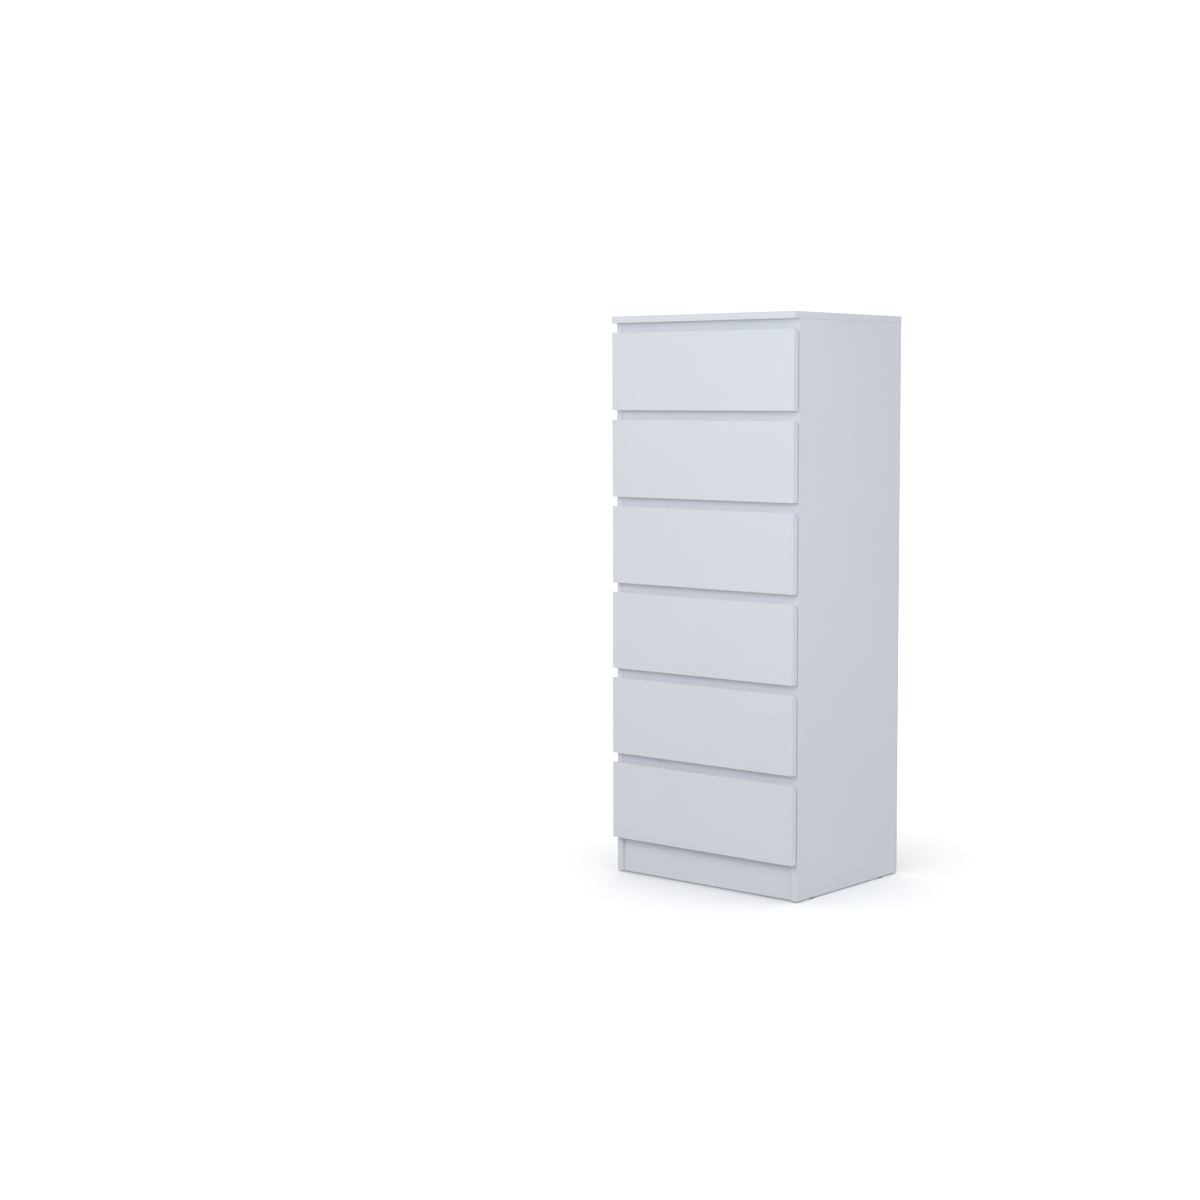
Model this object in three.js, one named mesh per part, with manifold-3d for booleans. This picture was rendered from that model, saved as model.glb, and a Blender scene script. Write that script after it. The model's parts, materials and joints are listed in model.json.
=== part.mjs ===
// A tall, narrow chest of six drawers in white melamine-faced board.
// The fronts have no handles: a finger gap above each front gives a grip on its bevelled top edge.
// Millimetres, +Z up, the fronts face -Y. The origin is on the floor, under the middle of the chest.
import * as THREE from "three";
import { mergeVertices } from "three/addons/utils/BufferGeometryUtils.js";
import Module from "manifold-3d";

// Overall size
const WIDTH = 500;
const DEPTH = 400;
const HEIGHT = 1246;

// Boards
const BOARD = 15;
const BACK_SHEET = 3;
const BACK_SHEET_INSET = 1.5;
const GLIDE_HEIGHT = 3;
const GLIDE_RADIUS = 7;
const GLIDE_EDGE_RADIUS = 1.5;
const GLIDE_FROM_END = 60;

// Drawers, counted from the top
const DRAWERS = 6;
const DRAWER_PITCH = 191.5;
const FINGER_GAP = 20.5;
const FRONT_THICKNESS = 16;
const FRONT_CLEARANCE = 2;
const FRONT_SIDE_INSET = 1.5;
const FRONT_BEVEL = 12;

// Drawer boxes, measured from the bottom edge of their own front
const BOX_BOARD = 12;
const BOX_WIDTH = 445;
const BOX_LENGTH = 350;
const BOX_HEIGHT = 130;
const BOX_LIFT = 13;
const BOX_BACK_DROP = 10;
const BASE_SHEET = 3;
const GROOVE_HEIGHT = 3.6;
const GROOVE_DEPTH = 6;
const GROOVE_LIFT = 10;
const GROOVE_PLAY = 0.3;

// Rails across the front of the cabinet, one behind each finger gap
const RAIL_HEIGHT = 45;
const RAIL_ABOVE_FRONT = 5;
const RAIL_SETBACK = 1;

// Plinth and rear rail
const PLINTH_HEIGHT = 82;
const PLINTH_SETBACK = 6;
const BOTTOM_PANEL_Z = 66;
const REAR_RAIL_HEIGHT = 80;

// Cabinet members of the roller runners: C channels of folded steel sheet
const RUNNER_LENGTH = 350;
const RUNNER_HEIGHT = 29;
const RUNNER_DEPTH = 10.5;
const RUNNER_SHEET = 1.2;
const RUNNER_LIP = 3;
const RUNNER_SETBACK = 3;

// Planes that several pieces share
const FRONT_Y = -DEPTH / 2;
const REAR_Y = DEPTH / 2;
const FRONT_BACK_Y = FRONT_Y + FRONT_THICKNESS;
const CARCASS_Y = FRONT_BACK_Y + FRONT_CLEARANCE;
const PLINTH_Y = CARCASS_Y + PLINTH_SETBACK;
const BOARD_REAR_Y = REAR_Y - BACK_SHEET;
const SIDE_X = WIDTH / 2 - BOARD;
const TOP_Z = HEIGHT - BOARD;

const FINISHES = {
  melamine: { color: 0xd9dde6, roughness: 0.45, metalness: 0 },
  drawerBoard: { color: 0xe4e4e1, roughness: 0.55, metalness: 0 },
  hardboard: { color: 0xdcdad4, roughness: 0.65, metalness: 0 },
  steel: { color: 0xe8e9ea, roughness: 0.4, metalness: 0.3 },
  plastic: { color: 0x8d9094, roughness: 0.5, metalness: 0 },
};

const wasm = await Module();
wasm.setup();

const chest = new THREE.Group();

// A named mesh with a material of its own.
function piece(name, finish, geometry) {
  const mesh = new THREE.Mesh(geometry, new THREE.MeshStandardMaterial(FINISHES[finish]));
  mesh.name = name;
  return mesh;
}

// A rectangular board between two limits on each axis.
function board(name, finish, [x0, x1], [y0, y1], [z0, z1]) {
  const mesh = piece(name, finish, new THREE.BoxGeometry(x1 - x0, y1 - y0, z1 - z0));
  mesh.position.set((x0 + x1) / 2, (y0 + y1) / 2, (z0 + z1) / 2);
  return mesh;
}

// An outline of [across, up] points, swept along Y from one end to the other.
function sweptAlongY(outline, fromY, toY) {
  const shape = new THREE.Shape(outline.map(([x, z]) => new THREE.Vector2(x, z)));
  const geometry = new THREE.ExtrudeGeometry(shape, { depth: toY - fromY, bevelEnabled: false });
  const xAxis = new THREE.Vector3(1, 0, 0);
  const yAxis = new THREE.Vector3(0, 0, 1);
  const zAxis = new THREE.Vector3(0, -1, 0);
  geometry.applyMatrix4(new THREE.Matrix4().makeBasis(xAxis, yAxis, zAxis));
  return geometry.translate(0, toY, 0);
}

// An outline of [out, up] points in the YZ plane, swept along X about the middle.
function sweptAlongX(outline, width) {
  const shape = new THREE.Shape(outline.map(([y, z]) => new THREE.Vector2(y, z)));
  const geometry = new THREE.ExtrudeGeometry(shape, { depth: width, bevelEnabled: false });
  const xAxis = new THREE.Vector3(0, 1, 0);
  const yAxis = new THREE.Vector3(0, 0, 1);
  const zAxis = new THREE.Vector3(1, 0, 0);
  geometry.applyMatrix4(new THREE.Matrix4().makeBasis(xAxis, yAxis, zAxis));
  return geometry.translate(-width / 2, 0, 0);
}

// A closed geometry as a manifold-3d solid.
function solidOf(geometry) {
  const bare = geometry.clone().deleteAttribute("normal").deleteAttribute("uv");
  const merged = mergeVertices(bare, 1e-4);
  return new wasm.Manifold(
    new wasm.Mesh({
      numProp: 3,
      vertProperties: merged.attributes.position.array,
      triVerts: new Uint32Array(merged.index.array),
    }),
  );
}

// The first geometry with the second one cut away.
function cut(geometry, tool) {
  const mesh = solidOf(geometry).subtract(solidOf(tool)).getMesh();
  const result = new THREE.BufferGeometry();
  result.setAttribute("position", new THREE.BufferAttribute(mesh.vertProperties, 3));
  result.setIndex(new THREE.BufferAttribute(mesh.triVerts, 1));
  result.computeVertexNormals();
  return result;
}

// The height of the bottom edge of drawer front number n, 1 at the top.
function frontBottomZ(n) {
  return TOP_Z - n * DRAWER_PITCH;
}

// ---- Cabinet: boards, rails, back and glides ----

function addPanels() {
  const insideX = [-SIDE_X, SIDE_X];
  chest.add(board("top_panel", "melamine", [-WIDTH / 2, WIDTH / 2], [FRONT_Y, REAR_Y], [TOP_Z, HEIGHT]));
  for (const [side, sign] of [["left", -1], ["right", 1]]) {
    const x = [sign * SIDE_X, (sign * WIDTH) / 2].sort((a, b) => a - b);
    chest.add(
      board(`${side}_side_panel`, "melamine", x, [CARCASS_Y, BOARD_REAR_Y], [GLIDE_HEIGHT, TOP_Z]),
    );
  }
  chest.add(
    board(
      "bottom_panel",
      "melamine",
      insideX,
      [PLINTH_Y + BOARD, BOARD_REAR_Y],
      [BOTTOM_PANEL_Z, BOTTOM_PANEL_Z + BOARD],
    ),
    board(
      "plinth_front_board",
      "melamine",
      insideX,
      [PLINTH_Y, PLINTH_Y + BOARD],
      [GLIDE_HEIGHT, PLINTH_HEIGHT],
    ),
    board(
      "plinth_rear_board",
      "melamine",
      insideX,
      [BOARD_REAR_Y - BOARD, BOARD_REAR_Y],
      [GLIDE_HEIGHT, BOTTOM_PANEL_Z],
    ),
    board(
      "rear_top_rail",
      "melamine",
      insideX,
      [BOARD_REAR_Y - BOARD, BOARD_REAR_Y],
      [TOP_Z - REAR_RAIL_HEIGHT, TOP_Z],
    ),
    board(
      "back_panel",
      "hardboard",
      [-WIDTH / 2 + BACK_SHEET_INSET, WIDTH / 2 - BACK_SHEET_INSET],
      [BOARD_REAR_Y, REAR_Y],
      [GLIDE_HEIGHT + BACK_SHEET_INSET, TOP_Z],
    ),
  );
}

// Rail n runs behind the finger gap above drawer n, and the first one hangs under the top panel.
function addFrontRails() {
  const y0 = CARCASS_Y + RAIL_SETBACK;
  for (let n = 1; n <= DRAWERS; n += 1) {
    const name = n === 1 ? "top_front_rail" : `divider_rail_${n - 1}`;
    const gapTop = frontBottomZ(n - 1);
    const top = n === 1 ? gapTop : gapTop + RAIL_ABOVE_FRONT;
    const bottom = top - RAIL_HEIGHT;
    chest.add(board(name, "melamine", [-SIDE_X, SIDE_X], [y0, y0 + BOARD], [bottom, top]));
  }
}

// Round plastic nail-in glides under the four ends of the side panels.
function addGlides() {
  const arc = new THREE.Path().absarc(
    GLIDE_RADIUS - GLIDE_EDGE_RADIUS,
    GLIDE_EDGE_RADIUS,
    GLIDE_EDGE_RADIUS,
    -Math.PI / 2,
    0,
    false,
  );
  const profile = [
    new THREE.Vector2(0, 0),
    ...arc.getPoints(4),
    new THREE.Vector2(GLIDE_RADIUS, GLIDE_HEIGHT),
    new THREE.Vector2(0, GLIDE_HEIGHT),
  ];
  const upright = new THREE.Matrix4().makeBasis(
    new THREE.Vector3(1, 0, 0),
    new THREE.Vector3(0, 0, 1),
    new THREE.Vector3(0, -1, 0),
  );
  const ends = [["front", CARCASS_Y + GLIDE_FROM_END], ["rear", REAR_Y - GLIDE_FROM_END]];
  for (const [end, y] of ends) {
    for (const [side, sign] of [["left", -1], ["right", 1]]) {
      const geometry = new THREE.LatheGeometry(profile, 24).applyMatrix4(upright);
      const glide = piece(`glide_${end}_${side}`, "plastic", geometry);
      glide.position.set(sign * (WIDTH / 2 - BOARD / 2), y, 0);
      chest.add(glide);
    }
  }
}

// The C channels screwed to the inside of the side panels, one each side of each drawer.
function addRunners() {
  const wall = SIDE_X;
  const mouth = SIDE_X - RUNNER_DEPTH;
  const t = RUNNER_SHEET;
  const h = RUNNER_HEIGHT;
  const section = [
    [wall, 0],
    [wall, h],
    [mouth, h],
    [mouth, h - t],
    [wall - t, h - t],
    [wall - t, t],
    [mouth + t, t],
    [mouth + t, t + RUNNER_LIP],
    [mouth, t + RUNNER_LIP],
    [mouth, 0],
  ];
  const y0 = CARCASS_Y + RUNNER_SETBACK;
  for (let n = 1; n <= DRAWERS; n += 1) {
    for (const [side, sign] of [["left", -1], ["right", 1]]) {
      const outline = section.map(([x, z]) => [sign * x, z]);
      const runner = piece(`runner_${side}_${n}`, "steel", sweptAlongY(outline, y0, y0 + RUNNER_LENGTH));
      runner.position.z = frontBottomZ(n) + BOX_LIFT;
      chest.add(runner);
    }
  }
}

// ---- Drawers ----

// The front: square at its face, with a bevel along the back of its top edge for the fingers,
// and a stopped groove across its back for the base sheet.
function drawerFront(name) {
  const height = DRAWER_PITCH - FINGER_GAP;
  const outline = [
    [FRONT_Y, 0],
    [FRONT_BACK_Y, 0],
    [FRONT_BACK_Y, height - FRONT_BEVEL],
    [FRONT_BACK_Y - FRONT_BEVEL, height],
    [FRONT_Y, height],
  ];
  const slab = sweptAlongX(outline, WIDTH - 2 * FRONT_SIDE_INSET);
  const grooveWidth = BOX_WIDTH - 2 * BOX_BOARD + 2 * GROOVE_DEPTH;
  const groove = new THREE.BoxGeometry(grooveWidth, 2 * GROOVE_DEPTH, GROOVE_HEIGHT);
  groove.translate(0, FRONT_BACK_Y, BOX_LIFT + GROOVE_LIFT + GROOVE_HEIGHT / 2);
  return piece(name, "melamine", cut(slab, groove));
}

// A side of the box, with the groove for the base sheet along its inner face.
function drawerSide(name, sign) {
  const outer = BOX_WIDTH / 2;
  const inner = outer - BOX_BOARD;
  const section = [
    [outer, 0],
    [outer, BOX_HEIGHT],
    [inner, BOX_HEIGHT],
    [inner, GROOVE_LIFT + GROOVE_HEIGHT],
    [inner + GROOVE_DEPTH, GROOVE_LIFT + GROOVE_HEIGHT],
    [inner + GROOVE_DEPTH, GROOVE_LIFT],
    [inner, GROOVE_LIFT],
    [inner, 0],
  ];
  const outline = section.map(([x, z]) => [sign * x, z + BOX_LIFT]);
  return piece(name, "drawerBoard", sweptAlongY(outline, FRONT_BACK_Y, FRONT_BACK_Y + BOX_LENGTH));
}

function addDrawer(n) {
  const drawer = new THREE.Group();
  drawer.position.z = frontBottomZ(n);
  const insideX = BOX_WIDTH / 2 - BOX_BOARD;
  const boxRearY = FRONT_BACK_Y + BOX_LENGTH;
  const baseZ = BOX_LIFT + GROOVE_LIFT + (GROOVE_HEIGHT - BASE_SHEET) / 2;
  const sheetX = insideX + GROOVE_DEPTH - GROOVE_PLAY;
  drawer.add(
    drawerFront(`drawer_${n}_front`),
    drawerSide(`drawer_${n}_side_left`, -1),
    drawerSide(`drawer_${n}_side_right`, 1),
    board(
      `drawer_${n}_back`,
      "drawerBoard",
      [-insideX, insideX],
      [boxRearY - BOX_BOARD, boxRearY],
      [BOX_LIFT + GROOVE_LIFT + GROOVE_HEIGHT, BOX_LIFT + BOX_HEIGHT - BOX_BACK_DROP],
    ),
    board(
      `drawer_${n}_bottom`,
      "hardboard",
      [-sheetX, sheetX],
      [FRONT_BACK_Y - GROOVE_DEPTH + GROOVE_PLAY, boxRearY],
      [baseZ, baseZ + BASE_SHEET],
    ),
  );
  chest.add(drawer);
}

addPanels();
addFrontRails();
addGlides();
addRunners();
for (let n = 1; n <= DRAWERS; n += 1) {
  addDrawer(n);
}

export default chest;
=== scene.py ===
"""Looks for a tall chest of six drawers in white melamine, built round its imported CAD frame.

Metres, +Z up, and the drawer fronts face -Y. Every place is worked out from the CAD nodes' boxes.
The sizes named below are in millimetres, unless a comment says otherwise, and are multiplied by MM
where they are used.
"""
import json
import math
import random

import bmesh
import bpy
from mathutils import Matrix, Vector


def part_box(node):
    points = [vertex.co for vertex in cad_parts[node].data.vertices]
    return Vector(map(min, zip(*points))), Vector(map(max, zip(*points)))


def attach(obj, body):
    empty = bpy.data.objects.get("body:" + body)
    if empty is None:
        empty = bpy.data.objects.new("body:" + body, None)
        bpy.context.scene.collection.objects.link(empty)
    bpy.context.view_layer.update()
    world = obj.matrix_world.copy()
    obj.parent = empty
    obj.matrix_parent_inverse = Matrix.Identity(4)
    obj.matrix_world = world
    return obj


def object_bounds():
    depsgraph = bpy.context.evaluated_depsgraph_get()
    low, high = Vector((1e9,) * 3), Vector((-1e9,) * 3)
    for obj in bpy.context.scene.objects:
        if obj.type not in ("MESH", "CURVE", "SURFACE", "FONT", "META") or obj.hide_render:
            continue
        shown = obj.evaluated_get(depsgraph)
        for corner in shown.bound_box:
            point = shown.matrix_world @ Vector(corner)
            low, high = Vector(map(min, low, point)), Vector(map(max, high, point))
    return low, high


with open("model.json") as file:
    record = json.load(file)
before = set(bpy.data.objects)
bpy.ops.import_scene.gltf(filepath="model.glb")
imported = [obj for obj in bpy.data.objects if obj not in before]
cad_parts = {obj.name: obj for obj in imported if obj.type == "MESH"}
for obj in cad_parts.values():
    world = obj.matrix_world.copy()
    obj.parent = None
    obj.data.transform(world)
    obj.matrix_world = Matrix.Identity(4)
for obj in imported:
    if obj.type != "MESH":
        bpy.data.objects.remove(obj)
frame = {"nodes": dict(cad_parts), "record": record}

MM = 0.001
SIDES = (("left", -1), ("right", 1))
DRAWERS = sum(name.endswith("_front") and name.startswith("drawer_") for name in frame["nodes"])

# Camera: the three-quarter view, from the front and right. Its place is in metres, its turn about the
# vertical and its dip below the level are in degrees, and its shift is a share of the frame's width
CAMERA_PLACE = (2.903, -3.837, 1.063)
CAMERA_TURN = 39.5
CAMERA_DIP = 4.66
CAMERA_LENS = 64.9
CAMERA_SHIFT = (-0.0547, -0.02)

# Surround: its radiance below the horizon and above it, what is added at the sides and at the front and
# back, and the white that the camera sees in its place
SURROUND_BELOW = 0.42
SURROUND_ABOVE = 0.2
SURROUND_SIDES = 1.0
SURROUND_ENDS = 0.9
SEEN_WHITE = 1.05

# Where the surround's parts fade in or out, each from one sine of the elevation to another
HORIZON = (-0.03, 0.03)
SIDES_FADE_OUT = (0.42, 0.55)
ENDS_FADE_IN = (0.38, 0.55)
ENDS_FADE_OUT = (0.75, 0.88)

# Lamps: the place and size of each softbox in metres, its power in watts and its colour, and the
# strength, and the spread in degrees, of the sun that lights the floor
NEUTRAL_LIGHT = (0.98, 0.99, 1.0)
COOL_LIGHT = (0.88, 0.94, 1.0)
SOFTBOXES = {
    "low_softbox": ((-0.3, -2.6, 1.4), (1.8, 1.2), 15, NEUTRAL_LIGHT),
    "high_softbox": ((-0.3, -3.2, 2.9), (2.0, 1.4), 11, NEUTRAL_LIGHT),
    "side_softbox": ((1.8, -0.9, 1.05), (1.4, 1.0), 8, COOL_LIGHT),
    "top_softbox": ((0, 0, 3.4), (3.0, 3.0), 26, NEUTRAL_LIGHT),
}
FLOOR_SUN_STRENGTH = 2.45
FLOOR_SUN_SPREAD = 70

# Half the width of the square floor, in metres
FLOOR_REACH = 30

# Rounding of the CAD nodes' edges by slot: radius, segments, and the least angle rounded, in degrees
EDGE_ROUNDING = {
    "white_melamine": (0.8, 3, 30),
    "drawer_box": (0.9, 3, 30),
    "hardboard": (0.3, 3, 30),
    "runner_steel": (0.3, 3, 30),
    "glide_plastic": (0.2, 2, 50),
}

# Surfaces: the edging strip's thickness, half the width of its seam, how far in from an edge melamine
# and foil are painted lighter as a highlight, the pitch of the mesh print on raw hardboard, and how
# high the glides are scuffed
EDGING_THICKNESS = 1.1
SEAM_HALF_WIDTH = 0.12
MELAMINE_EDGE_HIGHLIGHT = 0.9
FOIL_EDGE_HIGHLIGHT = 1.2
MESH_PRINT_PITCH = 1.8
GLIDE_SCUFFED = 1.2

# Runners: the channel is the member on the cabinet's side panel, and the leg is the folded angle on the
# drawer. BOX_LIFT and LEG_TOP are heights above the bottom edge of the drawer's front. LEG_UNDER and
# FLANGE_REACH are from the drawer side's outer face, in under the side and out over the front roller
BOX_LIFT = 13
LEG_TOP = 37.5
LEG_UNDER = 10.5
FLANGE_REACH = 10.6
LEG_THICKNESS = 1.2
LEG_CLEARANCE = 0.1
LEG_FRONT_GAP = 1.5
LEG_REAR_GAP = 1
LEG_SCREW_HEIGHT = 8
CHANNEL_THICKNESS = 1.2

# Rollers: the setbacks are from the channel's front end and from the drawer side's rear end
ROLLER_RADIUS = 10.25
ROLLER_WIDTH = 6.4
ROLLER_FROM_WEB = 1.45
FRONT_ROLLER_SETBACK = 13
REAR_ROLLER_SETBACK = 15
AXLE_RADIUS = 2.6
AXLE_DOME = 0.5
AXLE_SHORTER = 0.2

# Places of the screws and cam locks, as shares of a member's length or of a board's height
CHANNEL_SCREWS_ALONG = (0.12, 0.46, 0.86)
LEG_SCREWS_ALONG = (0.14, 0.52, 0.84)
BOX_CAM_HEIGHTS = (0.42, 0.80)
BACK_SCREW_HEIGHTS = (0.30, 0.78)

# Heads of the screws and cam locks: the radius, and how far the dome stands proud
CHANNEL_SCREW = (3.6, 0.45)
LEG_SCREW = (3.2, 0.45)
BACK_SCREW = (3.4, 0.4)
BOX_CAM = (5.0, 0.4)
RAIL_CAM = (7.5, 0.4)

# How far the cam locks are from the front end of a drawer side, and from the ends of a rail
BOX_CAM_SETBACK = 22
RAIL_CAM_INSET = 26

# From the chest's outer side to the middle of a side panel's edge
PANEL_MIDDLE = 7.5

# Bumpers: their section as (radius, height) pairs, and their places on the front
BUMPER_SECTION = [(0, 0), (4.0, 0), (4.0, 1.0), (3.4, 1.55), (2.2, 1.75), (0, 1.8)]
BUMPER_ABOVE_BOTTOM = 22
BUMPER_BELOW_TOP = 26

# Nails of the back sheet: the section of a head as (radius, height) pairs, how many stand up each side
# and across each board, their distance from the edge, and how far they stray, with the lean as a slope
NAIL_SECTION = [(0, 0), (1.9, 0), (1.9, 0.25), (1.3, 0.6), (0.6, 0.75), (0, 0.8)]
NAIL_ROWS = 11
NAILS_ACROSS = 4
NAIL_INSET = 12
NAIL_SUNK = 0.1
NAIL_STRAY_X = 1.2
NAIL_STRAY_Z = 3
NAIL_LEAN = 0.08

# Tape over the back sheet's fold: its gap to the sheet's edge and face, and how unevenly it was laid
TAPE_HALF_WIDTH = 22
TAPE_THICKNESS = 0.15
TAPE_COLUMNS = 48
TAPE_EDGE_GAP = 1
TAPE_FACE_GAP = 0.02
TAPE_LIFT = 0.05
TAPE_WANDER = 0.15

cad_low, cad_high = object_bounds()


# ---------------------------------------------------------------- meshes


def finish_mesh(name, bm, material, body, smooth=True):
    """Makes a new piece from a bmesh, riding on a CAD body."""
    bmesh.ops.recalc_face_normals(bm, faces=bm.faces)
    for face in bm.faces:
        face.smooth = smooth
    mesh = bpy.data.meshes.new(name)
    bm.to_mesh(mesh)
    bm.free()
    mesh.materials.append(material)
    piece = bpy.data.objects.new(name, mesh)
    bpy.context.scene.collection.objects.link(piece)
    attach(piece, body)
    return piece


def round_edges(piece, radius_mm, segments=3, angle=30):
    """Welds the split faces of a piece and rounds its sharp edges, as a modifier stack."""
    weld = piece.modifiers.new("weld", "WELD")
    weld.merge_threshold = 0.01 * MM
    bevel = piece.modifiers.new("round", "BEVEL")
    bevel.width = radius_mm * MM
    bevel.segments = segments
    bevel.limit_method = "ANGLE"
    bevel.angle_limit = math.radians(angle)
    bevel.use_clamp_overlap = True
    normals = piece.modifiers.new("normals", "WEIGHTED_NORMAL")
    normals.keep_sharp = False
    normals.weight = 90


def scaled(pairs):
    """Pairs of millimetres as pairs of metres."""
    return [(first * MM, second * MM) for first, second in pairs]


def add_lathe(bm, profile, place, segments):
    """Adds a body of revolution, from (radius, height) pairs that start and end on the axis."""
    rings = []
    for radius, height in profile:
        if radius < 1e-9:
            rings.append([bm.verts.new(place @ Vector((0, 0, height)))])
            continue
        ring = []
        for step in range(segments):
            turn = 2 * math.pi * step / segments
            point = Vector((radius * math.cos(turn), radius * math.sin(turn), height))
            ring.append(bm.verts.new(place @ point))
        rings.append(ring)
    for low, high in zip(rings, rings[1:]):
        for step in range(segments):
            after = (step + 1) % segments
            if len(low) == 1:
                bm.faces.new((low[0], high[step], high[after]))
            elif len(high) == 1:
                bm.faces.new((low[step], high[0], low[after]))
            else:
                bm.faces.new((low[step], high[step], high[after], low[after]))


def add_sweep(bm, outline, from_y, to_y):
    """Adds a prism with an outline of (x, z) points, from one Y to another."""
    near = [bm.verts.new((x, from_y, z)) for x, z in outline]
    far = [bm.verts.new((x, to_y, z)) for x, z in outline]
    bm.faces.new(near)
    bm.faces.new(reversed(far))
    for step in range(len(outline)):
        after = (step + 1) % len(outline)
        bm.faces.new((near[step], far[step], far[after], near[after]))


def facing(point, direction):
    """The matrix that sets a body of revolution at a point, with its axis along a direction."""
    turn = Vector(direction).to_track_quat("Z", "Y").to_matrix().to_4x4()
    return Matrix.Translation(Vector(point)) @ turn


def add_screw(bm, point, direction, head, turn):
    """Adds a domed head with a cross recess, standing proud of the face it sits in."""
    radius, proud = (size * MM for size in head)
    place = facing(point, direction) @ Matrix.Rotation(turn, 4, "Z")
    rings = 7
    segments = 32
    arm = 0.16 * radius
    reach = 0.62 * radius
    depth = 0.55 * radius
    least_depth = 0.2 * depth
    skirt = 0.3 * proud
    grid = []
    for ring in range(rings + 1):
        distance = radius * ring / rings
        row = []
        for step in range(segments):
            angle = 2 * math.pi * step / segments
            x = distance * math.cos(angle)
            y = distance * math.sin(angle)
            z = proud * (1 - (distance / radius) ** 2)
            across = min(abs(x), abs(y))
            along = max(abs(x), abs(y))
            if across < arm and along < reach:
                z -= depth * (1 - along / reach) + least_depth
            row.append(bm.verts.new(place @ Vector((x, y, z))))
            if ring == 0:
                break
        grid.append(row)
    for low, high in zip(grid, grid[1:]):
        for step in range(segments):
            after = (step + 1) % segments
            if len(low) == 1:
                bm.faces.new((low[0], high[step], high[after]))
            else:
                bm.faces.new((low[step], high[step], high[after], low[after]))
    rim = grid[-1]
    to_head = place.inverted()
    base = []
    for corner in rim:
        flat = to_head @ corner.co
        base.append(bm.verts.new(place @ Vector((flat.x, flat.y, -skirt))))
    for step in range(segments):
        after = (step + 1) % segments
        bm.faces.new((rim[step], base[step], base[after], rim[after]))
    bm.faces.new(reversed(base))


# ---------------------------------------------------------------- materials


class Tree:
    """A node tree, with short calls for the nodes used here."""

    # Places of the colour sockets on a Mix node, where several sockets share a name
    COLOUR_A, COLOUR_B, COLOUR_RESULT = 6, 7, 2

    def __init__(self, tree, coordinate):
        self.tree = tree
        self.place = tree.nodes.new("ShaderNodeTexCoord").outputs[coordinate]

    def link(self, source, target):
        """Joins one socket to another."""
        self.tree.links.new(source, target)

    def math(self, operation, first, second=None):
        """The result of a Math node, on sockets or numbers."""
        node = self.tree.nodes.new("ShaderNodeMath")
        node.operation = operation
        for socket, value in zip(node.inputs, (first, second)):
            if isinstance(value, bpy.types.NodeSocket):
                self.link(value, socket)
            elif value is not None:
                socket.default_value = value
        return node.outputs[0]

    def near(self, value, middle, reach):
        """One where the value is within reach of the middle, and nought elsewhere."""
        node = self.tree.nodes.new("ShaderNodeMath")
        node.operation = "COMPARE"
        self.link(value, node.inputs[0])
        node.inputs[1].default_value = middle
        node.inputs[2].default_value = reach
        return node.outputs[0]

    def ramp(self, value, low, high, to_low=0.0, to_high=1.0):
        """The value from low to high, spread over to_low to to_high."""
        node = self.tree.nodes.new("ShaderNodeMapRange")
        node.interpolation_type = "SMOOTHSTEP"
        ends = {"From Min": low, "From Max": high, "To Min": to_low, "To Max": to_high}
        for name, setting in ends.items():
            node.inputs[name].default_value = setting
        self.link(value, node.inputs["Value"])
        return node.outputs["Result"]

    def axis(self, letter):
        """One coordinate of the point being shaded."""
        node = self.tree.nodes.new("ShaderNodeSeparateXYZ")
        self.link(self.place, node.inputs[0])
        return node.outputs[letter]


class Nodes(Tree):
    """The node tree of a new material, with its Principled shader."""

    def __init__(self, name, roughness, metallic=0.0, specular=0.5):
        self.material = bpy.data.materials.new(name)
        self.material.use_nodes = True
        super().__init__(self.material.node_tree, "Object")
        self.shader = self.tree.nodes["Principled BSDF"]
        self.shader.inputs["Metallic"].default_value = metallic
        self.shader.inputs["Roughness"].default_value = roughness
        self.shader.inputs["Specular IOR Level"].default_value = specular

    def noise(self, scale, detail=2.0, roughness=0.5, stretch=(1, 1, 1), distortion=0.0):
        """Noise through the body, mostly between 0.3 and 0.7."""
        mapping = self.tree.nodes.new("ShaderNodeMapping")
        mapping.inputs["Scale"].default_value = stretch
        self.link(self.place, mapping.inputs["Vector"])
        node = self.tree.nodes.new("ShaderNodeTexNoise")
        node.inputs["Scale"].default_value = scale
        node.inputs["Detail"].default_value = detail
        node.inputs["Roughness"].default_value = roughness
        node.inputs["Distortion"].default_value = distortion
        self.link(mapping.outputs["Vector"], node.inputs["Vector"])
        return node.outputs["Fac"]

    def mix(self, share, first, second):
        """A colour between two, each a socket or an RGB triple."""
        node = self.tree.nodes.new("ShaderNodeMix")
        node.data_type = "RGBA"
        for place, value in ((self.COLOUR_A, first), (self.COLOUR_B, second)):
            if isinstance(value, bpy.types.NodeSocket):
                self.link(value, node.inputs[place])
            else:
                node.inputs[place].default_value = (*value, 1.0)
        self.link(share, node.inputs["Factor"])
        return node.outputs[self.COLOUR_RESULT]

    def bump(self, height, distance_mm, strength=1.0, onto=None):
        """A normal bent by a height, on top of another normal if there is one."""
        node = self.tree.nodes.new("ShaderNodeBump")
        node.inputs["Distance"].default_value = distance_mm * MM
        node.inputs["Strength"].default_value = strength
        self.link(height, node.inputs["Height"])
        if onto is not None:
            self.link(onto, node.inputs["Normal"])
        return node.outputs["Normal"]

    def set(self, colour=None, roughness=None, normal=None):
        """Links what is given to the shader, and gives back the finished material."""
        if colour is not None:
            self.link(colour, self.shader.inputs["Base Color"])
        if roughness is not None:
            self.link(roughness, self.shader.inputs["Roughness"])
        if normal is not None:
            self.link(normal, self.shader.inputs["Normal"])
        return self.material


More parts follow.
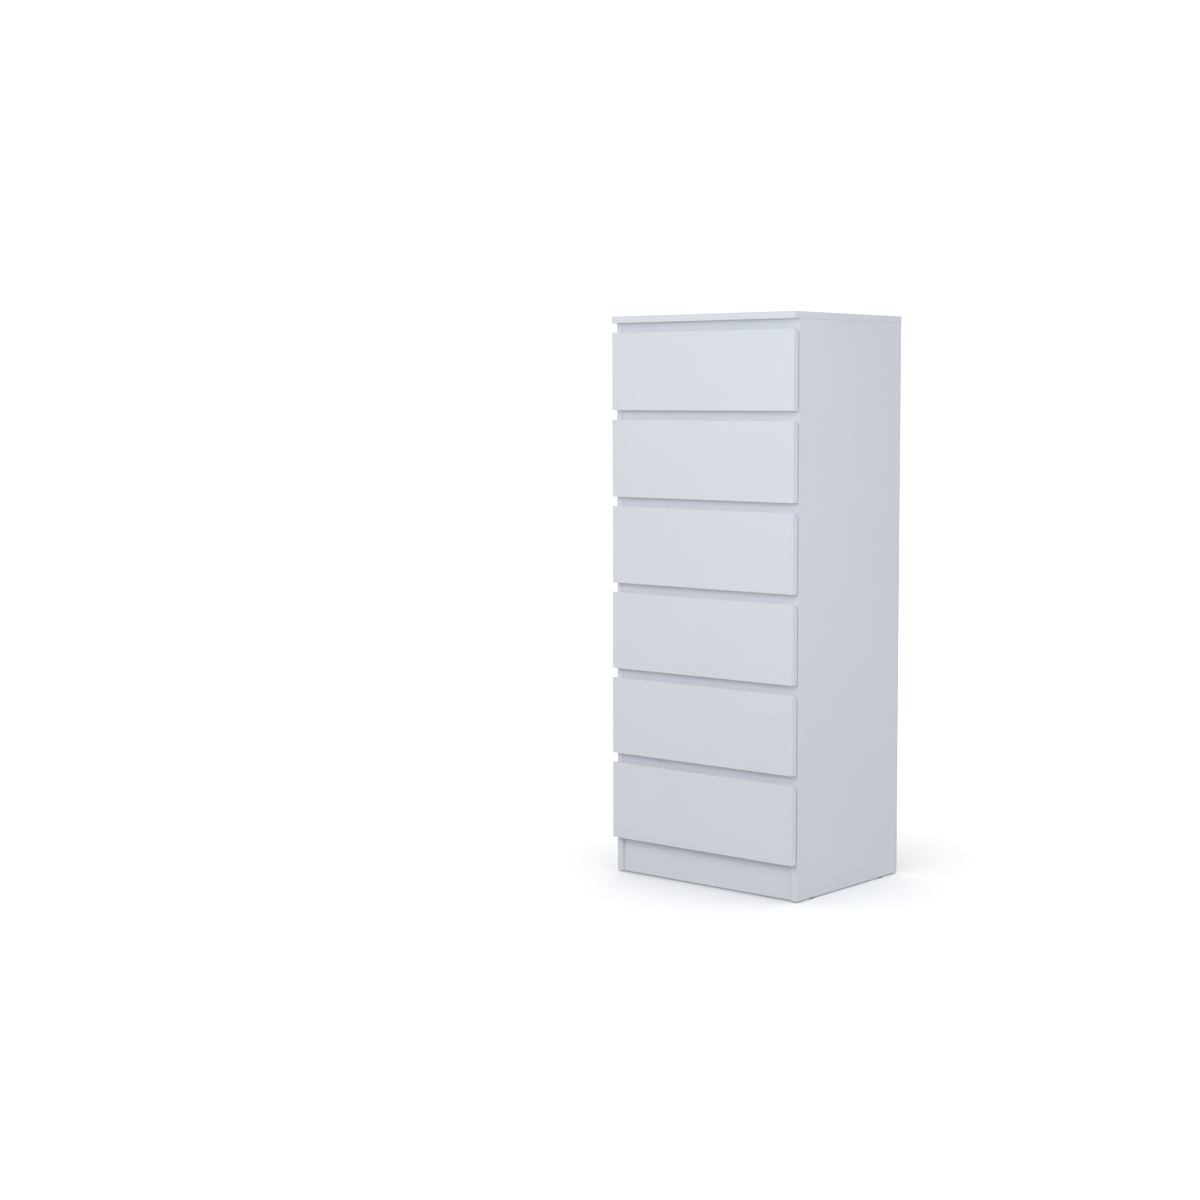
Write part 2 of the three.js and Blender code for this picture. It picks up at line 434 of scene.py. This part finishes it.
def edge_distance(nodes, low, high):
    """How far a point on a box's face is from the nearest edge of that face."""
    gaps = []
    for letter, start, end in zip("XYZ", low, high):
        along = nodes.axis(letter)
        from_start = nodes.math("SUBTRACT", along, start)
        to_end = nodes.math("SUBTRACT", end, along)
        gaps.append(nodes.math("MINIMUM", from_start, to_end))
    lesser = nodes.math("MINIMUM", gaps[0], gaps[1])
    greater = nodes.math("MAXIMUM", gaps[0], gaps[1])
    return nodes.math("MAXIMUM", lesser, nodes.math("MINIMUM", greater, gaps[2]))


def melamine(name, low, high):
    """White melamine-faced board: a fine pearl texture, faint clouding, and edging with its seam."""
    nodes = Nodes(name, roughness=0.42, specular=0.5)
    clouding = nodes.noise(5.0, detail=3)
    speckle = nodes.noise(900.0, detail=1)
    clouds = nodes.math("MULTIPLY", clouding, 0.7)
    share = nodes.math("ADD", clouds, nodes.math("MULTIPLY", speckle, 0.3))
    colour = nodes.mix(nodes.ramp(share, 0.3, 0.7), (0.805, 0.838, 0.893), (0.828, 0.855, 0.905))
    edge = edge_distance(nodes, low, high)
    seam = nodes.near(edge, EDGING_THICKNESS * MM, SEAM_HALF_WIDTH * MM)
    # Painted highlight: the colour is made lighter in a band along every edge of each face, and the
    # same band is made a little smoother
    edge_highlight = nodes.ramp(edge, 0.0, MELAMINE_EDGE_HIGHLIGHT * MM, 1.0, 0.0)
    colour = nodes.mix(nodes.math("MULTIPLY", seam, 0.35), colour, (0.50, 0.51, 0.53))
    colour = nodes.mix(nodes.math("MULTIPLY", edge_highlight, 0.25), colour, (0.88, 0.90, 0.93))
    smudges = nodes.ramp(nodes.noise(11.0, detail=6, roughness=0.6), 0.3, 0.75, 0.37, 0.50)
    roughness = nodes.math("SUBTRACT", smudges, nodes.math("MULTIPLY", edge_highlight, 0.08))
    waves = nodes.bump(nodes.noise(70.0, detail=1), 0.04)
    pearl = nodes.bump(nodes.noise(1100.0, detail=2), 0.025, 0.6, onto=waves)
    return nodes.set(colour, roughness, pearl)


def box_board(name, low, high):
    """Foil-wrapped drawer board, slightly warmer and duller, with a faint lengthwise grain."""
    nodes = Nodes(name, roughness=0.5, specular=0.4)
    grain = nodes.noise(260.0, detail=3, stretch=(1, 0.06, 1))
    clouding = nodes.noise(7.0, detail=3)
    colour = nodes.mix(nodes.ramp(clouding, 0.3, 0.7), (0.780, 0.785, 0.785), (0.810, 0.812, 0.808))
    colour = nodes.mix(nodes.ramp(grain, 0.55, 0.75, 0.0, 0.25), colour, (0.73, 0.735, 0.735))
    edge = edge_distance(nodes, low, high)
    # Painted highlight: the colour is made lighter in a band along every edge of each face
    edge_highlight = nodes.ramp(edge, 0.0, FOIL_EDGE_HIGHLIGHT * MM, 1.0, 0.0)
    colour = nodes.mix(nodes.math("MULTIPLY", edge_highlight, 0.3), colour, (0.87, 0.87, 0.86))
    roughness = nodes.ramp(nodes.noise(14.0, detail=5), 0.3, 0.7, 0.44, 0.58)
    return nodes.set(colour, roughness, nodes.bump(grain, 0.03, 0.5))


def hardboard(name, letter, raw_side, level):
    """Hardboard sheet: lacquered white on the inside, raw brown fibre with a mesh print outside.

    The raw part is where the letter's axis is over the level if raw_side is 1, or under it if -1.
    """
    nodes = Nodes(name, roughness=0.6, specular=0.35)
    fibres = nodes.noise(330.0, detail=5, roughness=0.65, distortion=0.8)
    clumps = nodes.noise(24.0, detail=4)
    brown = nodes.mix(nodes.ramp(fibres, 0.35, 0.7), (0.205, 0.118, 0.062), (0.340, 0.215, 0.125))
    brown = nodes.mix(nodes.ramp(clumps, 0.35, 0.75, 0.0, 0.5), brown, (0.255, 0.155, 0.085))
    white = nodes.mix(nodes.ramp(clumps, 0.3, 0.7), (0.770, 0.775, 0.770), (0.800, 0.803, 0.797))
    along = nodes.axis(letter)
    operation = "GREATER_THAN" if raw_side > 0 else "LESS_THAN"
    raw = nodes.math(operation, along, level)
    colour = nodes.mix(raw, white, brown)
    rougher = nodes.math("MULTIPLY", raw, 0.28)
    roughness = nodes.math("ADD", rougher, nodes.ramp(clumps, 0.3, 0.7, 0.48, 0.6))
    turns = 2 * math.pi / (MESH_PRINT_PITCH * MM)
    others = [other for other in "XYZ" if other != letter]
    waves = [nodes.math("SINE", nodes.math("MULTIPLY", nodes.axis(other), turns)) for other in others]
    mesh_print = nodes.math("MULTIPLY", nodes.math("MULTIPLY", waves[0], waves[1]), 0.4)
    relief = nodes.math("MULTIPLY", raw, nodes.math("ADD", mesh_print, fibres))
    relief = nodes.math("ADD", relief, nodes.math("MULTIPLY", clumps, 0.15))
    return nodes.set(colour, roughness, nodes.bump(relief, 0.12, 0.7))


def powder_coat():
    """White powder coat on folded steel, with its fine orange peel."""
    nodes = Nodes("runner_powder_coat", roughness=0.35, specular=0.5)
    clouding = nodes.noise(18.0, detail=3)
    colour = nodes.mix(nodes.ramp(clouding, 0.3, 0.7), (0.760, 0.760, 0.745), (0.800, 0.800, 0.788))
    scuffs = nodes.ramp(nodes.noise(140.0, detail=4, stretch=(1, 0.04, 1)), 0.62, 0.78)
    colour = nodes.mix(nodes.math("MULTIPLY", scuffs, 0.45), colour, (0.56, 0.56, 0.55))
    roughness = nodes.ramp(nodes.noise(60.0, detail=3), 0.3, 0.7, 0.28, 0.42)
    return nodes.set(colour, roughness, nodes.bump(nodes.noise(650.0, detail=1), 0.03, 0.6))


def nylon():
    """Off-white nylon of the runner rollers."""
    nodes = Nodes("roller_nylon", roughness=0.4, specular=0.45)
    nodes.shader.inputs["Subsurface Weight"].default_value = 0.12
    nodes.shader.inputs["Subsurface Scale"].default_value = 0.002
    clouding = nodes.noise(180.0, detail=3)
    colour = nodes.mix(nodes.ramp(clouding, 0.3, 0.7), (0.730, 0.720, 0.665), (0.790, 0.782, 0.735))
    roughness = nodes.ramp(nodes.noise(420.0, detail=3), 0.3, 0.7, 0.32, 0.5)
    return nodes.set(colour, roughness, nodes.bump(nodes.noise(900.0, detail=2), 0.02, 0.5))


def plated_steel():
    """Bright zinc plating on screws, rivets and nails."""
    nodes = Nodes("zinc_plating", roughness=0.3, metallic=1.0)
    clouding = nodes.noise(300.0, detail=4)
    colour = nodes.mix(nodes.ramp(clouding, 0.3, 0.7), (0.60, 0.61, 0.63), (0.76, 0.77, 0.78))
    roughness = nodes.ramp(nodes.noise(700.0, detail=4), 0.3, 0.7, 0.22, 0.46)
    return nodes.set(colour, roughness, nodes.bump(nodes.noise(1500.0, detail=2), 0.01, 0.5))


def die_cast():
    """Dull zinc die casting of the cam locks."""
    nodes = Nodes("zinc_die_cast", roughness=0.5, metallic=0.9)
    grain = nodes.noise(900.0, detail=4)
    colour = nodes.mix(nodes.ramp(grain, 0.3, 0.7), (0.43, 0.44, 0.46), (0.58, 0.59, 0.61))
    roughness = nodes.ramp(nodes.noise(500.0, detail=3), 0.3, 0.7, 0.42, 0.62)
    return nodes.set(colour, roughness, nodes.bump(grain, 0.04, 0.6))


def glide_plastic():
    """Grey moulded plastic of the glides, scuffed where they meet the floor."""
    nodes = Nodes("glide_grey_plastic", roughness=0.5, specular=0.4)
    grain = nodes.noise(1200.0, detail=3)
    colour = nodes.mix(nodes.ramp(grain, 0.3, 0.7), (0.125, 0.130, 0.138), (0.165, 0.170, 0.178))
    scuffed = nodes.ramp(nodes.axis("Z"), 0.0, GLIDE_SCUFFED * MM, 1.0, 0.0)
    colour = nodes.mix(nodes.math("MULTIPLY", scuffed, 0.4), colour, (0.27, 0.27, 0.27))
    rougher = nodes.math("MULTIPLY", scuffed, 0.2)
    roughness = nodes.math("ADD", nodes.ramp(grain, 0.3, 0.7, 0.42, 0.56), rougher)
    return nodes.set(colour, roughness, nodes.bump(grain, 0.03, 0.6))


def soft_bumper():
    """Milky soft plastic of the stick-on bumpers behind the fronts."""
    nodes = Nodes("bumper_soft_plastic", roughness=0.3, specular=0.5)
    nodes.shader.inputs["Subsurface Weight"].default_value = 0.3
    nodes.shader.inputs["Subsurface Scale"].default_value = 0.002
    clouding = nodes.noise(400.0, detail=2)
    colour = nodes.mix(nodes.ramp(clouding, 0.3, 0.7), (0.68, 0.69, 0.69), (0.76, 0.77, 0.77))
    roughness = nodes.ramp(nodes.noise(600.0, detail=2), 0.3, 0.7, 0.22, 0.4)
    return nodes.set(colour, roughness, nodes.bump(clouding, 0.02, 0.5))


def paper_tape():
    """White paper tape over the fold of the back sheet."""
    nodes = Nodes("white_paper_tape", roughness=0.7, specular=0.3)
    fibres = nodes.noise(520.0, detail=5, roughness=0.7)
    colour = nodes.mix(nodes.ramp(fibres, 0.3, 0.7), (0.70, 0.69, 0.66), (0.79, 0.78, 0.75))
    roughness = nodes.ramp(nodes.noise(40.0, detail=3), 0.3, 0.7, 0.6, 0.8)
    return nodes.set(colour, roughness, nodes.bump(fibres, 0.05, 0.6))


# ---------------------------------------------------------------- CAD nodes


def slot_of(node):
    """The material slot that the record gives a CAD node."""
    return next(s["material_slot"] for s in frame["record"]["subparts"] if s["node"] == node)


def dress_cad_nodes():
    """Rounds the edges of each CAD node and gives it its material."""
    steel = powder_coat()
    plastic = glide_plastic()
    for name, node in sorted(frame["nodes"].items()):
        slot = slot_of(name)
        low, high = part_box(name)
        middle = (low + high) / 2
        if slot == "white_melamine":
            material = melamine(f"melamine_{name}", low, high)
        elif slot == "drawer_box":
            material = box_board(f"foil_board_{name}", low, high)
        elif slot == "hardboard":
            if name == "back_panel":
                material = hardboard(f"hardboard_{name}", "Y", 1, middle.y)
            else:
                material = hardboard(f"hardboard_{name}", "Z", -1, middle.z)
        else:
            material = steel if slot == "runner_steel" else plastic
        node.data.materials.clear()
        node.data.materials.append(material)
        round_edges(node, *EDGE_ROUNDING[slot])


# ---------------------------------------------------------------- runners


def roller_profile():
    """Half the section of a roller, as (radius, distance along the axle) pairs, in metres."""
    rim = ROLLER_RADIUS
    half = ROLLER_WIDTH / 2
    points = [
        (0, -half + 0.4),
        (3.6, -half + 0.4),
        (4.2, -half + 1.6),
        (rim - 2.6, -half + 1.6),
        (rim - 2.0, -half + 0.3),
        (rim - 0.6, -half),
        (rim, -half + 0.7),
    ]
    mirrored = [(radius, -along) for radius, along in reversed(points)]
    return scaled(points + mirrored)


def rivet_profile(radius, proud, length):
    """The pin and the domed head of a roller's axle, as (radius, height) pairs, in metres."""
    pin = radius * 0.62
    angles = (0, 0.4, 0.8, 1.2)
    dome = [(radius * math.cos(angle), length + proud * math.sin(angle)) for angle in angles]
    return scaled([(0, 0), (pin, 0), (pin, length)] + dome + [(0, length + proud)])


def add_roller(name, body, foot, toward, materials):
    """A nylon roller on a riveted axle, whose foot is on a web of sheet steel."""
    bm = bmesh.new()
    centre = (foot[0] + toward * (ROLLER_FROM_WEB + ROLLER_WIDTH / 2) * MM, foot[1], foot[2])
    add_lathe(bm, roller_profile(), facing(centre, (toward, 0, 0)), 40)
    finish_mesh(f"{name}_wheel", bm, materials["nylon"], body)
    bm = bmesh.new()
    length = ROLLER_FROM_WEB + ROLLER_WIDTH - AXLE_SHORTER
    add_lathe(bm, rivet_profile(AXLE_RADIUS, AXLE_DOME, length), facing(foot, (toward, 0, 0)), 24)
    finish_mesh(f"{name}_axle", bm, materials["steel"], body)


def add_channel_parts(number, side, sign, materials):
    """The front roller and the screws of the channel on the cabinet's side panel."""
    low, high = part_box(f"runner_{side}_{number}")
    wall = high.x if sign > 0 else low.x
    web = wall - sign * CHANNEL_THICKNESS * MM
    roller_z = low.z + (LEG_TOP - LEG_THICKNESS - BOX_LIFT - ROLLER_RADIUS) * MM
    foot = (web, low.y + FRONT_ROLLER_SETBACK * MM, roller_z)
    add_roller(f"cabinet_roller_{side}_{number}", "cabinet", foot, -sign, materials)
    bm = bmesh.new()
    middle = (low.z + high.z) / 2
    for step, along in enumerate(CHANNEL_SCREWS_ALONG):
        y = low.y + along * (high.y - low.y)
        add_screw(bm, (web, y, middle), (-sign, 0, 0), CHANNEL_SCREW, 0.7 * step + number)
    name = f"cabinet_runner_screws_{side}_{number}"
    finish_mesh(name, bm, materials["steel"], "cabinet")


def add_leg(number, side, sign, materials):
    """The folded angle under a drawer side, with its rear roller and screws."""
    body = f"drawer_{number}"
    low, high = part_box(f"{body}_side_{side}")
    face = high.x if sign > 0 else low.x
    bottom = low.z - BOX_LIFT * MM
    inner = face + sign * LEG_CLEARANCE * MM
    outer = inner + sign * LEG_THICKNESS * MM
    under = low.z - LEG_CLEARANCE * MM
    lower = under - LEG_THICKNESS * MM
    under_end = face - sign * LEG_UNDER * MM
    top = bottom + LEG_TOP * MM
    top_under = top - LEG_THICKNESS * MM
    flange_end = face + sign * FLANGE_REACH * MM
    outline = [
        (under_end, lower),
        (outer, lower),
        (outer, top_under),
        (flange_end, top_under),
        (flange_end, top),
        (inner, top),
        (inner, under),
        (under_end, under),
    ]
    bm = bmesh.new()
    add_sweep(bm, outline, low.y + LEG_FRONT_GAP * MM, high.y - LEG_REAR_GAP * MM)
    piece = finish_mesh(f"drawer_runner_{side}_{number}", bm, materials["coat"], body)
    round_edges(piece, 0.4, segments=2)
    roller_z = bottom + (BOX_LIFT + CHANNEL_THICKNESS + ROLLER_RADIUS) * MM
    foot = (outer, high.y - REAR_ROLLER_SETBACK * MM, roller_z)
    add_roller(f"drawer_roller_{side}_{number}", body, foot, sign, materials)
    bm = bmesh.new()
    for step, along in enumerate(LEG_SCREWS_ALONG):
        y = low.y + along * (high.y - low.y)
        point = (outer, y, low.z + LEG_SCREW_HEIGHT * MM)
        add_screw(bm, point, (sign, 0, 0), LEG_SCREW, 0.5 + step + number)
    finish_mesh(f"drawer_runner_screws_{side}_{number}", bm, materials["steel"], body)


# ---------------------------------------------------------------- fittings


def add_box_fittings(number, materials):
    """Cam locks at the front corners, screws at the back corners, and bumpers behind the front."""
    body = f"drawer_{number}"
    cams = bmesh.new()
    screws = bmesh.new()
    bumpers = bmesh.new()
    front_low, front_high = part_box(f"{body}_front")
    back_low, back_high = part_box(f"{body}_back")
    for side, sign in SIDES:
        low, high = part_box(f"{body}_side_{side}")
        outer = high.x if sign > 0 else low.x
        inner = low.x if sign > 0 else high.x
        for height in BOX_CAM_HEIGHTS:
            z = low.z + height * (high.z - low.z)
            point = (inner, low.y + BOX_CAM_SETBACK * MM, z)
            add_screw(cams, point, (-sign, 0, 0), BOX_CAM, 0.9 * number + height)
        for height in BACK_SCREW_HEIGHTS:
            z = back_low.z + height * (back_high.z - back_low.z)
            point = (outer, (back_low.y + back_high.y) / 2, z)
            add_screw(screws, point, (sign, 0, 0), BACK_SCREW, 1.3 * number + height)
        x = sign * (cad_high.x - PANEL_MIDDLE * MM)
        for z in (front_low.z + BUMPER_ABOVE_BOTTOM * MM, front_high.z - BUMPER_BELOW_TOP * MM):
            place = facing((x, front_high.y, z), (0, 1, 0))
            add_lathe(bumpers, scaled(BUMPER_SECTION), place, 28)
    finish_mesh(f"cam_locks_{number}", cams, materials["cast"], body)
    finish_mesh(f"back_corner_screws_{number}", screws, materials["steel"], body)
    finish_mesh(f"front_bumpers_{number}", bumpers, materials["bumper"], body)


def add_rail_cams(materials):
    """Cam locks in the rear face of each front rail, near its ends."""
    bm = bmesh.new()
    rails = sorted(name for name in frame["nodes"] if "_rail" in name and name != "rear_top_rail")
    for step, name in enumerate(rails):
        low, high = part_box(name)
        z = (low.z + high.z) / 2
        for x in (low.x + RAIL_CAM_INSET * MM, high.x - RAIL_CAM_INSET * MM):
            add_screw(bm, (x, high.y, z), (0, 1, 0), RAIL_CAM, 0.6 * step)
    finish_mesh("rail_cam_locks", bm, materials["cast"], "cabinet")


def nail_spots(low, high):
    """Where nails go: up both sides of the sheet, and across the rear top rail and the bottom panel."""
    side_x = cad_high.x - PANEL_MIDDLE * MM
    spots = []
    reach = high.z - low.z - 2 * NAIL_INSET * MM
    for row in range(NAIL_ROWS):
        z = low.z + NAIL_INSET * MM + reach * row / (NAIL_ROWS - 1)
        spots += [(-side_x, z), (side_x, z)]
    rail_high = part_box("rear_top_rail")[1]
    bottom_low, bottom_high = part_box("bottom_panel")
    for z in (rail_high.z - NAIL_INSET * MM, (bottom_low.z + bottom_high.z) / 2):
        for step in range(1, NAILS_ACROSS + 1):
            spots.append((low.x + (high.x - low.x) * step / (NAILS_ACROSS + 1), z))
    return spots


def add_back_nails(materials):
    """Small domed nails in the back sheet, a little out of line and leaning."""
    low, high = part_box("back_panel")
    spread = random.Random(7)
    bm = bmesh.new()
    for x, z in nail_spots(low, high):
        x += spread.uniform(-NAIL_STRAY_X, NAIL_STRAY_X) * MM
        z += spread.uniform(-NAIL_STRAY_Z, NAIL_STRAY_Z) * MM
        lean = (spread.uniform(-NAIL_LEAN, NAIL_LEAN), 1, spread.uniform(-NAIL_LEAN, NAIL_LEAN))
        place = facing((x, high.y - NAIL_SUNK * MM, z), lean)
        add_lathe(bm, scaled(NAIL_SECTION), place, 16)
    finish_mesh("back_sheet_nails", bm, materials["steel"], "cabinet")


def add_fold_tape(materials):
    """The tape over the fold across the middle of the back sheet."""
    low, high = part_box("back_panel")
    middle = (low.z + high.z) / 2
    start = low.x + TAPE_EDGE_GAP * MM
    length = high.x - low.x - 2 * TAPE_EDGE_GAP * MM
    wander = random.Random(3)
    bm = bmesh.new()
    near = []
    far = []
    for column in range(TAPE_COLUMNS + 1):
        x = start + length * column / TAPE_COLUMNS
        lift = wander.uniform(0, TAPE_LIFT) * MM
        for edge in (-1, 1):
            half_width = TAPE_HALF_WIDTH * MM + wander.uniform(-TAPE_WANDER, TAPE_WANDER) * MM
            z = middle + edge * half_width
            near.append(bm.verts.new((x, high.y + TAPE_FACE_GAP * MM, z)))
            far.append(bm.verts.new((x, high.y + TAPE_THICKNESS * MM + lift, z)))
    for column in range(TAPE_COLUMNS):
        a, b, c, d = 2 * column, 2 * column + 1, 2 * column + 3, 2 * column + 2
        bm.faces.new((far[a], far[b], far[c], far[d]))
        bm.faces.new((near[d], near[c], near[b], near[a]))
        bm.faces.new((near[a], far[a], far[d], near[d]))
        bm.faces.new((near[c], far[c], far[b], near[b]))
    bm.faces.new((near[0], near[1], far[1], far[0]))
    bm.faces.new((near[-1], near[-2], far[-2], far[-1]))
    finish_mesh("back_sheet_tape", bm, materials["tape"], "cabinet", smooth=False)


# ---------------------------------------------------------------- stage


def add_camera():
    """The camera of the three-quarter view."""
    data = bpy.data.cameras.new("camera")
    data.lens = CAMERA_LENS
    data.sensor_width = 36
    data.shift_x, data.shift_y = CAMERA_SHIFT
    camera = bpy.data.objects.new("camera", data)
    camera.location = CAMERA_PLACE
    camera.rotation_euler = (math.radians(90 - CAMERA_DIP), 0, math.radians(CAMERA_TURN))
    bpy.context.scene.collection.objects.link(camera)
    bpy.context.scene.camera = camera


def add_floor():
    """A wide pale floor. No light comes off it, so the finger gaps stay shaded from below."""
    nodes = Nodes("studio_floor", roughness=1.0, specular=0.0)
    cloud = nodes.noise(0.8, detail=2)
    material = nodes.set(nodes.mix(cloud, (0.95, 0.95, 0.95), (0.96, 0.96, 0.96)))
    bm = bmesh.new()
    bmesh.ops.create_grid(bm, x_segments=4, y_segments=4, size=FLOOR_REACH)
    mesh = bpy.data.meshes.new("studio_floor")
    bm.to_mesh(mesh)
    bm.free()
    mesh.materials.append(material)
    floor = bpy.data.objects.new("studio_floor", mesh)
    floor.visible_diffuse = False
    bpy.context.scene.collection.objects.link(floor)
    return floor


def add_surround():
    """A pale surround, dim overhead, brighter low at the sides and higher at the front and back."""
    world = bpy.data.worlds.new("studio")
    bpy.context.scene.world = world
    world.use_nodes = True
    sky = Tree(world.node_tree, "Generated")
    height = sky.axis("Z")
    low_band = sky.ramp(height, *SIDES_FADE_OUT, 1.0, 0.0)
    fade_in = sky.ramp(height, *ENDS_FADE_IN)
    high_band = sky.math("MULTIPLY", fade_in, sky.ramp(height, *ENDS_FADE_OUT, 1.0, 0.0))
    glow = SURROUND_ABOVE - SURROUND_BELOW
    for letter, band, strength in (("X", low_band, SURROUND_SIDES), ("Y", high_band, SURROUND_ENDS)):
        towards = sky.axis(letter)
        lobe = sky.math("MULTIPLY", sky.math("MULTIPLY", towards, towards), band)
        glow = sky.math("ADD", sky.math("MULTIPLY", lobe, strength), glow)
    above = sky.ramp(height, *HORIZON)
    radiance = sky.math("ADD", sky.math("MULTIPLY", glow, above), SURROUND_BELOW)
    lit = sky.tree.nodes["Background"]
    lit.inputs["Color"].default_value = (*NEUTRAL_LIGHT, 1.0)
    sky.link(radiance, lit.inputs["Strength"])
    seen = sky.tree.nodes.new("ShaderNodeBackground")
    seen.inputs["Color"].default_value = (1, 1, 1, 1)
    seen.inputs["Strength"].default_value = SEEN_WHITE
    mix = sky.tree.nodes.new("ShaderNodeMixShader")
    sky.link(sky.tree.nodes.new("ShaderNodeLightPath").outputs["Is Camera Ray"], mix.inputs[0])
    sky.link(lit.outputs[0], mix.inputs[1])
    sky.link(seen.outputs[0], mix.inputs[2])
    sky.link(mix.outputs[0], sky.tree.nodes["World Output"].inputs["Surface"])


def add_lamp(name, kind, place, direction, colour):
    """A lamp at a place, turned so that its light comes from a direction."""
    data = bpy.data.lights.new(name, kind)
    data.color = colour
    lamp = bpy.data.objects.new(name, data)
    lamp.location = place
    lamp.rotation_mode = "QUATERNION"
    lamp.rotation_quaternion = Vector(direction).to_track_quat("Z", "Y")
    lamp.visible_camera = False
    bpy.context.scene.collection.objects.link(lamp)
    return lamp


def add_softbox(name, place, size, watts, colour):
    """A rectangular soft light, aimed at the middle of the chest."""
    middle = (cad_low + cad_high) / 2
    lamp = add_lamp(name, "AREA", place, Vector(place) - middle, colour)
    lamp.data.shape = "RECTANGLE"
    lamp.data.size, lamp.data.size_y = size
    lamp.data.energy = watts
    return lamp


def link_light(lamp, piece, state):
    """Makes a lamp light one piece alone (INCLUDE), or every piece but that one (EXCLUDE)."""
    lit = bpy.data.collections.new(f"lit_by_{lamp.name}")
    lit.objects.link(piece)
    lit.collection_objects[0].light_linking.link_state = state
    lamp.light_linking.receiver_collection = lit


def add_lights(floor):
    """Softboxes in front, at the right and overhead for the chest, and a broad sun for the floor."""
    add_surround()
    for name, (place, size, watts, colour) in SOFTBOXES.items():
        softbox = add_softbox(name, place, size, watts, colour)
        link_light(softbox, floor, "EXCLUDE")
    sun = add_lamp("floor_sun", "SUN", (0, 0, 3), (0, 0, 1), NEUTRAL_LIGHT)
    sun.data.energy = FLOOR_SUN_STRENGTH
    sun.data.angle = math.radians(FLOOR_SUN_SPREAD)
    link_light(sun, floor, "INCLUDE")
    settings = bpy.context.scene.view_settings
    settings.view_transform = "Standard"
    settings.look = "None"


def build():
    """Makes the materials, the pieces and the studio."""
    add_camera()
    dress_cad_nodes()
    materials = {
        "coat": powder_coat(),
        "nylon": nylon(),
        "steel": plated_steel(),
        "cast": die_cast(),
        "bumper": soft_bumper(),
        "tape": paper_tape(),
    }
    for number in range(1, DRAWERS + 1):
        for side, sign in SIDES:
            add_channel_parts(number, side, sign, materials)
            add_leg(number, side, sign, materials)
        add_box_fittings(number, materials)
    add_rail_cams(materials)
    add_back_nails(materials)
    add_fold_tape(materials)
    add_lights(add_floor())


build()
